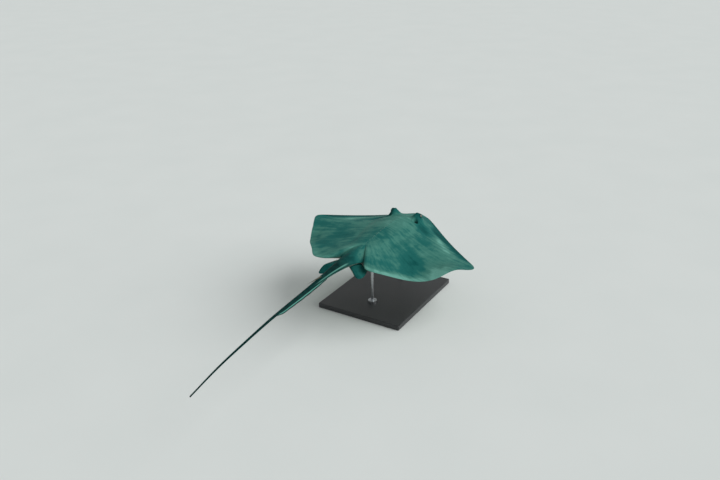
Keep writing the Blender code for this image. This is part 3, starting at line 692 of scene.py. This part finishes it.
def lid_opening(name, skin, centre, gaze, level, upright):
    """The space between the lids as a closed solid: the section swept round the opening's oval,
    its floor inside the eyeball and its mouth over the skin. Its marks are the nearest skin's."""
    turn = np.linspace(0.0, 2 * math.pi, 96 // SHARE_MADE + 1)[:-1]
    out, over = np.array(LID_SECTION).T[:, :, None]
    across = (LID_LONG + out) * np.cos(turn)
    above = (LID_SQUASH * LID_LONG + out) * np.sin(turn)
    ahead = np.sqrt((EYE_RADIUS + over)**2 - across**2 - above**2)
    rings = centre + across[..., None] * level + above[..., None] * upright + ahead[..., None] * gaze
    ends = centre + np.array([[EYE_RADIUS + LID_FLOOR], [ahead[-1].max() + LID_CEILING]]) * gaze
    numbers = stack_numbers(rings)
    faces = stack_faces(numbers[:, ::-1])
    faces += pole_faces(numbers[0], numbers.size, -1) + pole_faces(numbers[-1], numbers.size + 1, 1)
    points = np.concatenate([rings.reshape(-1, 3), ends])
    opening = make_piece(name, points, faces)
    places = np.empty(len(skin.data.vertices) * 3)
    skin.data.vertices.foreach_get("co", places)
    places = places.reshape(-1, 3)
    close = np.flatnonzero(((places - centre)**2).sum(axis=1) < 0.03**2)
    nearest = close[((points[:, None] - places[close])**2).sum(axis=2).argmin(axis=1)]
    marks = {title: values[nearest] for title, values in marks_of(skin).items()}
    rows, width = numbers.shape
    # the wall of the opening is painted dark towards the ball, as painted shade between lids and eye
    marks["hole_shade"] = np.append(np.repeat([0.9, 0.7, 0.4, 0.2] + [0.0] * (rows - 4), width), [0, 0])
    give_marks(opening, marks)
    return opening


skin = body_skin()
shaping = [(lobe, "UNION") for lobe in (pelvic_skin(1.0), pelvic_skin(-1.0), fold_skin())]
shaping += [(lid_opening("opening_" + side, skin, *eye), "DIFFERENCE")
            for side, eye in zip(("left", "right"), eye_frames())]
for shaper, operation in shaping:
    step = skin.modifiers.new("shape_" + shaper.name, "BOOLEAN")
    step.operation = operation
    step.solver = "MANIFOLD"
    step.object = shaper
    view = bpy.context.evaluated_depsgraph_get()
    shaped = bpy.data.meshes.new_from_object(skin.evaluated_get(view))
    skin.modifiers.clear()
    skin.data = shaped
    bpy.data.objects.remove(shaper)
    fill_seam_marks(skin)

# edges under a thousandth of a millimetre are slivers that the cuts leave
trim = bmesh.new()
trim.from_mesh(skin.data)
bmesh.ops.dissolve_degenerate(trim, dist=1e-6, edges=trim.edges)
trim.to_mesh(skin.data)
trim.free()

skin.data.name = "skin"
skin.data.shade_smooth()
skin.data.set_sharp_from_angle(angle=math.radians(50))


def linear(code):
    """An sRGB hex colour as linear RGBA."""
    value = np.array([int(code[k:k + 2], 16) for k in (1, 3, 5)]) / 255
    value = np.where(value <= 0.04045, value / 12.92, ((value + 0.055) / 1.055)**2.4)
    return (*value.tolist(), 1.0)


def add(tree, kind, inputs=(), out=0, **settings):
    """Adds a node with its settings and returns one output, or the node where out is None.
    Inputs pairs a socket with a value or with another node's output."""
    made = tree.nodes.new(kind)
    for name, value in settings.items():
        setattr(made, name, value)
    for socket, value in dict(inputs).items():
        if isinstance(value, bpy.types.NodeSocket):
            tree.links.new(value, made.inputs[socket])
        else:
            made.inputs[socket].default_value = value
    return made if out is None else made.outputs[out]


def feed(tree, shader, **patterns):
    """Links each pattern to the shader's socket of that name."""
    for socket, pattern in patterns.items():
        tree.links.new(pattern, shader.inputs[socket.replace("_", " ")])


def new_finish(name, roughness, **even):
    """A material with its Principled shader's even values set, ready for its pattern: returned
    with its tree, its shader and the place on the piece, in metres, that patterns read."""
    material = bpy.data.materials.new(name)
    material.use_nodes = True
    shader = material.node_tree.nodes["Principled BSDF"]
    shader.inputs["Roughness"].default_value = roughness
    for socket, value in even.items():
        shader.inputs[socket.replace("_", " ")].default_value = value
    place = add(material.node_tree, "ShaderNodeTexCoord", out="Object")
    return material, material.node_tree, shader, place


MM = 0.001
NOISE, MIX, RANGE, MATH = ("ShaderNodeTexNoise", "ShaderNodeMix", "ShaderNodeMapRange",
                           "ShaderNodeMath")
RGBA = {"out": 2, "data_type": "RGBA"}
SMOOTH = {"interpolation_type": "SMOOTHSTEP"}


def painted_ray_skin():
    """Painted cast of a ray's skin, smooth and nearly matt: teal grey-green above, with soft clouds
    and streaks that follow the fin's rays, pale below with a dusky rim, and a dark tail. Its tone
    mark carries painted light and shade besides the markings, and the openings are painted near
    black as painted shade. Very little of the room shows in it, as a ray's skin has no gloss under water."""
    material, tree, shader, place = new_finish("painted_ray_skin", 0.52, Specular_IOR_Level=0.02)
    along, out, belly, tone, hole_shade = (add(tree, "ShaderNodeAttribute", out="Fac", attribute_name=name)
                                       for name in ("along", "out", "belly", "tone", "hole_shade"))
    reach = add(tree, MATH, {0: out}, operation="ABSOLUTE")

    # clouds of 150 mm and blotches of 30 mm in the skin, grain of 4 mm, and streaks that are
    # 20 mm wide at the margin and 150 mm long, drawn in towards the midline with the fin's rays
    clouds = add(tree, NOISE, {"Vector": place, "Scale": 1 / (150 * MM), "Detail": 4.0, "Roughness": 0.5})
    blotches = add(tree, NOISE, {"Vector": place, "Scale": 1 / (30 * MM), "Detail": 5.0, "Roughness": 0.55})
    grain = add(tree, NOISE, {"Vector": place, "Scale": 1 / (4 * MM), "Detail": 3.0, "Roughness": 0.6})
    wide = add(tree, MATH, {0: along, 1: 50.0}, operation="MULTIPLY")
    long = add(tree, MATH, {0: out, 1: 3.0}, operation="MULTIPLY")
    fan = add(tree, "ShaderNodeCombineXYZ", {0: wide, 1: long})
    streaks = add(tree, NOISE, {"Vector": fan, "Scale": 1.0, "Detail": 3.0, "Roughness": 0.5})

    shade = add(tree, MATH, {0: clouds, 1: 1.0, 2: -0.55}, operation="MULTIPLY_ADD")
    for pattern, weight in ((blotches, 0.45), (streaks, 0.55), (tone, 0.38)):
        shade = add(tree, MATH, {0: pattern, 1: weight, 2: shade}, operation="MULTIPLY_ADD")
    back = linear("#0a3a37")
    for low, high, colour in ((-0.40, 0.06, "#0e4c49"), (0.02, 0.30, "#1d5e59"),
                              (0.30, 0.58, "#40776c"), (0.56, 0.98, "#669f92")):
        share = add(tree, RANGE, {0: shade, 1: low, 2: high}, **SMOOTH)
        back = add(tree, MIX, {0: share, 6: back, 7: linear(colour)}, **RGBA)
    specks = add(tree, RANGE, {0: grain, 1: 0.55, 2: 0.78, 4: 0.35}, **SMOOTH)
    back = add(tree, MIX, {0: specks, 6: back, 7: linear("#164440")}, **RGBA)

    mottle = add(tree, RANGE, {0: blotches, 1: 0.35, 2: 0.75})
    pale = add(tree, MIX, {0: mottle, 6: linear("#c6ccc0"), 7: linear("#a9b5aa")}, **RGBA)
    ragged = add(tree, MATH, {0: blotches, 1: 0.16, 2: reach}, operation="MULTIPLY_ADD")
    rim = add(tree, RANGE, {0: ragged, 1: 0.86, 2: 1.12}, **SMOOTH)
    pale = add(tree, MIX, {0: rim, 6: pale, 7: linear("#4c6f66")}, **RGBA)

    tail = add(tree, MIX, {0: mottle, 6: linear("#072423"), 7: linear("#113734")}, **RGBA)
    # the pale of the fold's web is painted light; the tail root's pale flanks share it
    web = add(tree, RANGE, {0: tone, 1: 0.05, 2: 1.0}, **SMOOTH)
    tail = add(tree, MIX, {0: web, 6: tail, 7: linear("#5f9c8f")}, **RGBA)

    under = add(tree, RANGE, {0: belly, 1: 0.35, 2: 0.65}, **SMOOTH)
    colour = add(tree, MIX, {0: under, 6: back, 7: pale}, **RGBA)
    on_tail = add(tree, RANGE, {0: along, 1: 1.00, 2: 1.14}, **SMOOTH)
    colour = add(tree, MIX, {0: on_tail, 6: colour, 7: tail}, **RGBA)
    # painted shade: near black inside the openings, the spiracles and between the lids
    colour = add(tree, MIX, {0: hole_shade, 6: colour, 7: linear("#0b1817")}, **RGBA)
    rough = add(tree, RANGE, {0: blotches, 1: 0.3, 2: 0.7, 3: 0.40, 4: 0.53})

    # pores of 2.5 mm all over, and about a hundred fin rays a side that rise towards the margin
    pores = add(tree, "ShaderNodeTexVoronoi", {"Vector": place, "Scale": 1 / (2.5 * MM)})
    ray_place = add(tree, "ShaderNodeCombineXYZ", {0: along})
    rays = add(tree, "ShaderNodeTexWave", {"Vector": ray_place, "Scale": 32.0}, out="Fac",
               bands_direction="X")
    outer = add(tree, RANGE, {0: reach, 1: 0.40, 2: 0.92, 4: 0.85}, **SMOOTH)
    height = add(tree, MATH, {0: rays, 1: outer}, operation="MULTIPLY")
    for pattern, weight in ((grain, 0.70), (pores, 0.30)):
        height = add(tree, MATH, {0: pattern, 1: weight, 2: height}, operation="MULTIPLY_ADD")
    bump = add(tree, "ShaderNodeBump", {"Height": height, "Strength": 0.40, "Distance": 0.8 * MM})
    feed(tree, shader, Base_Color=colour, Roughness=rough, Normal=bump)
    return material


skin.data.materials.clear()
skin.data.materials.append(painted_ray_skin())
FLESH = ("head", "trunk", "wing_left", "wing_right", "pelvic_fin_left", "pelvic_fin_right",
         "tail_base", "tail_mid", "tail_whip", "tail_finfold")
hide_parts(*FLESH)
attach(skin, "root")


# ---------------------------------------------------------------- eyes
# Glass eyes under a clear cornea: a dark bronze iris flecked with gold round the low crescent
# pupil of a ray. Each is a ball that bulges slightly towards its gaze and sits behind the lids.
CORNEA_BULGE, CORNEA_SPREAD = 0.015, 2.2    # the bulge ends at pi over its spread from the gaze


def eyeball(name, centre, gaze, level, upright):
    """A ball on a grid of polar angle and turn about the gaze, raised over the cornea by a
    cosine bulge. How far across and above its middle a point lies is kept for the iris."""
    polar = np.linspace(0.0, math.pi, 41)[1:-1]
    turn = np.linspace(0.0, 2 * math.pi, 65)[:-1]
    bulge = CORNEA_BULGE * np.cos(np.clip(polar * CORNEA_SPREAD, 0, math.pi))
    radius = EYE_RADIUS * (1 - CORNEA_BULGE + bulge)
    around = np.cos(turn)[:, None] * level + np.sin(turn)[:, None] * upright
    points = centre + radius[:, None, None] * (np.cos(polar)[:, None, None] * gaze
                                               + np.sin(polar)[:, None, None] * around[None])
    numbers = stack_numbers(points)
    faces = stack_faces(numbers)
    faces += pole_faces(numbers[0], numbers.size, 1) + pole_faces(numbers[-1], numbers.size + 1, -1)
    ends = np.array([centre + gaze * EYE_RADIUS, centre - gaze * EYE_RADIUS * (1 - 2 * CORNEA_BULGE)])
    ball = make_piece(name, np.concatenate([points.reshape(-1, 3), ends]), faces)
    give_marks(ball, {"across": np.append(np.outer(np.sin(polar), np.cos(turn)), [0, 0]),
                      "above": np.append(np.outer(np.sin(polar), np.sin(turn)), [0, 0])})
    return ball


def glass_eye():
    """Cast glass eye: polished black crescent pupil, bronze iris with gold flecks, dark rim."""
    material, tree, shader, place = new_finish("glass_eye", 0.06, IOR=1.45, Coat_Weight=0.6,
                                               Coat_Roughness=0.03)
    across, above = (add(tree, "ShaderNodeAttribute", out="Fac", attribute_name=name)
                     for name in ("across", "above"))
    flecks = add(tree, NOISE, {"Vector": place, "Scale": 1 / (0.9 * MM), "Detail": 4.0, "Roughness": 0.7})

    # distance from the middles of the iris, of the flat pupil, and of the lid-like flap over it
    ovals = []
    for low, flat in ((0.0, 1.0), (-0.04, 1.7), (0.12, 1.1)):
        up = add(tree, MATH, {0: above, 1: low}, operation="SUBTRACT")
        up = add(tree, MATH, {0: up, 1: flat}, operation="MULTIPLY")
        oval = add(tree, "ShaderNodeCombineXYZ", {0: across, 1: up})
        ovals.append(add(tree, "ShaderNodeVectorMath", {0: oval}, out="Value", operation="LENGTH"))
    gold = add(tree, RANGE, {0: flecks, 1: 0.42, 2: 0.68}, **SMOOTH)
    iris = add(tree, MIX, {0: gold, 6: linear("#2a2718"), 7: linear("#857446")}, **RGBA)
    rim = add(tree, RANGE, {0: ovals[0], 1: 0.54, 2: 0.68}, **SMOOTH)
    iris = add(tree, MIX, {0: rim, 6: iris, 7: linear("#14211f")}, **RGBA)
    in_pupil = add(tree, RANGE, {0: ovals[1], 1: 0.37, 2: 0.32})
    off_flap = add(tree, RANGE, {0: ovals[2], 1: 0.17, 2: 0.22})
    crescent = add(tree, MATH, {0: in_pupil, 1: off_flap}, operation="MULTIPLY")
    colour = add(tree, MIX, {0: crescent, 6: iris, 7: linear("#040505")}, **RGBA)
    feed(tree, shader, Base_Color=colour)
    return material


eye_finish = glass_eye()
for name, node, frame_of_eye in (("eyeball_left", "eye_left", eye_frames()[0]),
                                 ("eyeball_right", "eye_right", eye_frames()[1])):
    ball = eyeball(name, *frame_of_eye)
    ball.data.materials.append(eye_finish)
    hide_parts(node)
    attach(ball, "root")


# ---------------------------------------------------------------- sting
# The venomous spine that lies on the tail: a flat dentine dagger, ridged above, with a row of
# small barbs down both edges that point back to the root. It grows out of a sheath in the skin.
sting_low, sting_high = (np.array(corner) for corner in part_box("sting"))
STING_LENGTH = sting_high[1] - sting_low[1]
STING_HALF = (sting_high[0] - sting_low[0]) / 2
STING_HALF_THICK = 0.0020
BARBS, BARBS_FROM, BARB_DEPTH = 30, 0.16, 0.26      # shares of the length and of the half width
STING_TIP, STING_RIDGE = 0.10, 0.35     # share of the size left at the tip, and added by the ridge


def sting_mesh():
    """Sections along a straight line from the root to the raised tip. The half width is the
    taper less a saw tooth, the half thickness a low lens with a ridge along the middle."""
    share = np.linspace(0.0, 1.0, BARBS * 4 + 1)
    taper = np.maximum(1.0 - share**1.6, STING_TIP)
    tooth = np.mod(share * BARBS, 1.0) * ease((share - BARBS_FROM) / 0.1)
    half = STING_HALF * taper * (1.0 - BARB_DEPTH * tooth)
    turn = np.linspace(0.0, 2 * math.pi, 17)[:-1]
    lens = np.sin(turn) * (1.0 + STING_RIDGE * bell((turn - math.pi / 2) / 0.35))
    x = half[:, None] * np.cos(turn)[None]
    z = STING_HALF_THICK * taper[:, None] * lens[None]
    y = sting_low[1] + share * STING_LENGTH
    climb = sting_high[2] - sting_low[2] - 1.3 * STING_HALF_THICK
    middle = sting_low[2] + STING_HALF_THICK + share * climb
    rings = np.dstack([x, np.broadcast_to(y[:, None], x.shape), middle[:, None] + z])
    numbers = stack_numbers(rings)
    faces = stack_faces(numbers[:, ::-1]) + [numbers[0].tolist(), numbers[-1][::-1].tolist()]
    return make_piece("sting_blade", rings.reshape(-1, 3), faces)


def sting_dentine():
    """Dentine under thin skin: dark olive brown and satin, with fine grooves of 0.7 mm along it."""
    material, tree, shader, place = new_finish("satin_sting_dentine", 0.40)
    drawn = add(tree, "ShaderNodeMapping", {0: place, 3: (1 / (0.7 * MM), 1 / (14 * MM), 1 / (0.7 * MM))})
    grooves = add(tree, NOISE, {"Vector": drawn, "Scale": 1.0, "Detail": 3.0})
    share = add(tree, RANGE, {0: grooves, 1: 0.3, 2: 0.7})
    colour = add(tree, MIX, {0: share, 6: linear("#2b2c22"), 7: linear("#565440")}, **RGBA)
    bump = add(tree, "ShaderNodeBump", {"Height": grooves, "Strength": 0.5, "Distance": 0.3 * MM})
    feed(tree, shader, Base_Color=colour, Normal=bump)
    return material


sting = sting_mesh()
sting.data.materials.append(sting_dentine())
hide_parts("sting")
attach(sting, "root")


# ---------------------------------------------------------------- thorns
# The row of blunt enamel thorns that an adult carries down the nape and the middle of the back,
# largest over the shoulders. Each is a small cone leaning back, sunk in the skin.
THORNS, FIRST_THORN_Y, LAST_THORN_Y = 26, -0.150, 0.200
THORN_SIZE = 2.3 * MM                   # of the largest
THORN_TALL, THORN_SUNK, THORN_LEAN = 1.25, 0.30, 0.9    # shares of a thorn's size
THORN_FOOT, THORN_TIP, THORN_LONG = 1.15, 0.06, 1.35    # half widths, and length over width


def thorn_row():
    """Cones on the midline of the back, each a ring stack drawn in to a tip that leans back.
    Their places step along the crest, made a little uneven by sines, and their sizes rise and
    fall as part of a sine."""
    on_midline = np.zeros(THORNS)
    place = np.linspace(FIRST_THORN_Y, LAST_THORN_Y, THORNS)
    place = place + 0.0035 * np.sin(np.arange(THORNS) * 2.4)
    size = (0.45 + 0.55 * np.sin(np.linspace(0.25, 2.6, THORNS))) * THORN_SIZE
    offset = 0.9 * MM * np.sin(np.arange(THORNS) * 4.1)
    crest = heights(place, np.full(THORNS, 0.4), on_midline)[0]
    lift = swim(on_midline, place)[0]
    top = (crest + EDGE / SPAN + back_relief(on_midline, place) + lift) * SPAN + RIDE
    share = np.array([0.0, 0.45, 0.8, 1.0])
    turn = np.linspace(0.0, 2 * math.pi, 9)[:-1]
    radius = ((1 - share)**0.8 * THORN_FOOT + THORN_TIP)[None, :, None]
    size, share = size[:, None, None], share[None, :, None]
    x = offset[:, None, None] + size * radius * np.cos(turn)
    y = (place * SPAN)[:, None, None] + size * (radius * THORN_LONG * np.sin(turn) + THORN_LEAN * share**2)
    z = top[:, None, None] + size * (THORN_TALL * share - THORN_SUNK) + 0 * x
    points = np.stack([x, y, z], axis=-1).reshape(-1, 3)
    one = stack_numbers(x[0])
    single = stack_faces(one) + [one[0][::-1].tolist(), one[-1].tolist()]
    faces = [[n + k * one.size for n in face] for k in range(THORNS) for face in single]
    return make_piece("nape_thorns", points, faces)


def thorn_enamel():
    """Worn enamel of a dermal thorn: stained the grey-green of the skin, in patches of 2 mm."""
    material, tree, shader, place = new_finish("worn_thorn_enamel", 0.38)
    wear = add(tree, NOISE, {"Vector": place, "Scale": 1 / (2 * MM), "Detail": 3.0})
    share = add(tree, RANGE, {0: wear, 1: 0.35, 2: 0.65})
    colour = add(tree, MIX, {0: share, 6: linear("#28574f"), 7: linear("#437a70")}, **RGBA)
    feed(tree, shader, Base_Color=colour)
    return material


thorns = thorn_row()
thorns.data.materials.append(thorn_enamel())
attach(thorns, "root")


# ---------------------------------------------------------------- stand
# A flat board base, sprayed satin black, and two turned steel rods with collars that carry the
# model under its belly. They are the solids' own pieces, given their real finish.
def sprayed_black_board():
    """Satin black spray lacquer on board: orange peel of 1.6 mm, and a faint bloom of dust."""
    material, tree, shader, place = new_finish("sprayed_black_board", 0.45, Coat_Weight=0.15,
                                               Coat_Roughness=0.3)
    peel = add(tree, NOISE, {"Vector": place, "Scale": 1 / (1.6 * MM), "Detail": 2.0})
    dust = add(tree, NOISE, {"Vector": place, "Scale": 1 / (60 * MM), "Detail": 6.0})
    share = add(tree, RANGE, {0: dust, 1: 0.35, 2: 0.75})
    colour = add(tree, MIX, {0: share, 6: linear("#222325"), 7: linear("#303234")}, **RGBA)
    rough = add(tree, RANGE, {0: dust, 1: 0.3, 2: 0.7, 3: 0.38, 4: 0.52})
    bump = add(tree, "ShaderNodeBump", {"Height": peel, "Strength": 0.10, "Distance": 0.2 * MM})
    feed(tree, shader, Base_Color=colour, Roughness=rough, Normal=bump)
    return material


def turned_steel():
    """Stainless bar brushed as it turned: fine rings of 0.35 mm round it, soft reflections."""
    material, tree, shader, place = new_finish("turned_stainless_steel", 0.28, Metallic=1.0)
    drawn = add(tree, "ShaderNodeMapping", {0: place, 3: (1 / (9 * MM), 1 / (9 * MM), 1 / (0.35 * MM))})
    rings = add(tree, NOISE, {"Vector": drawn, "Scale": 1.0, "Detail": 3.0})
    colour = add(tree, MIX, {0: rings, 6: linear("#a4a8ab"), 7: linear("#c6c9cb")}, **RGBA)
    rough = add(tree, RANGE, {0: rings, 1: 0.3, 2: 0.7, 3: 0.24, 4: 0.36})
    bump = add(tree, "ShaderNodeBump", {"Height": rings, "Strength": 0.15, "Distance": 0.05 * MM})
    feed(tree, shader, Base_Color=colour, Roughness=rough, Normal=bump)
    return material


board, steel = sprayed_black_board(), turned_steel()
for node, finish in (("stand_base", board), ("stand_rod_front", steel), ("stand_rod_rear", steel)):
    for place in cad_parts[node].material_slots:
        place.material = finish


# ---------------------------------------------------------------- studio
# A plain pale floor in one broad soft light and an even pale room. The camera stands behind the
# ray and above it, on a lens of 38 mm, turned a little to the left of the ray.
FLOOR_HALF, FLOOR_GAP = 40.0, 0.0005    # the gap keeps the floor clear of the base's underside


def pale_floor():
    """A wide level sheet of matt paper under the model."""
    corners = FLOOR_HALF * np.array([[-1, -1, 0], [1, -1, 0], [1, 1, 0], [-1, 1, 0]])
    corners[:, 2] = cad_low[2] - FLOOR_GAP
    floor = make_piece("floor", corners, [[0, 1, 2, 3]])
    material, tree, shader, place = new_finish("pale_matt_paper", 0.9)
    tooth = add(tree, NOISE, {"Vector": place, "Scale": 1 / (400 * MM), "Detail": 3.0})
    colour = add(tree, MIX, {0: tooth, 6: linear("#d3d8d6"), 7: linear("#d9dddb")}, **RGBA)
    feed(tree, shader, Base_Color=colour)
    floor.data.materials.append(material)
    return floor


pale_floor()

LENS_MM, SENSOR_MM = 38.0, 36.0
AZIMUTH, ELEVATION, TURN_LEFT = math.radians(209.5), math.radians(24.6), math.radians(1.94)
DISTANCE = 3.658                        # from the ray's middle to the camera
ray_middle = Vector((0.0, 0.0, RIDE))
backwards = Vector((math.sin(AZIMUTH) * math.cos(ELEVATION), -math.cos(AZIMUTH) * math.cos(ELEVATION),
                    math.sin(ELEVATION)))
camera = bpy.data.objects.new("camera", bpy.data.cameras.new("camera"))
bpy.context.scene.collection.objects.link(camera)
camera.data.lens = LENS_MM
camera.data.sensor_width = SENSOR_MM
camera.data.dof.use_dof = False
camera.location = ray_middle + DISTANCE * backwards
facing = (-backwards).to_track_quat("-Z", "Y") @ Quaternion((0.0, 1.0, 0.0), TURN_LEFT)
camera.rotation_euler = facing.to_euler()
bpy.context.scene.camera = camera


def soft_light(name, place, softness, power, colour):
    """A far soft light, whose disc spans the given degrees, shining on the ray from a place."""
    light = bpy.data.lights.new(name, "SUN")
    light.angle = math.radians(softness)
    light.energy = power
    light.color = linear(colour)[:3]
    thing = bpy.data.objects.new(name, light)
    bpy.context.scene.collection.objects.link(thing)
    thing.location = place
    thing.rotation_euler = (ray_middle - thing.location).to_track_quat("-Z", "Y").to_euler()


soft_light("key", (-3.0, -0.9, 2.6), 62, 2.6, "#ffffff")
world = bpy.data.worlds.new("studio")
bpy.context.scene.world = world
world.use_nodes = True
sky = world.node_tree.nodes["Background"]
sky.inputs["Color"].default_value = linear("#eef1f1")
sky.inputs["Strength"].default_value = 0.50
bpy.context.scene.view_settings.view_transform = "Standard"
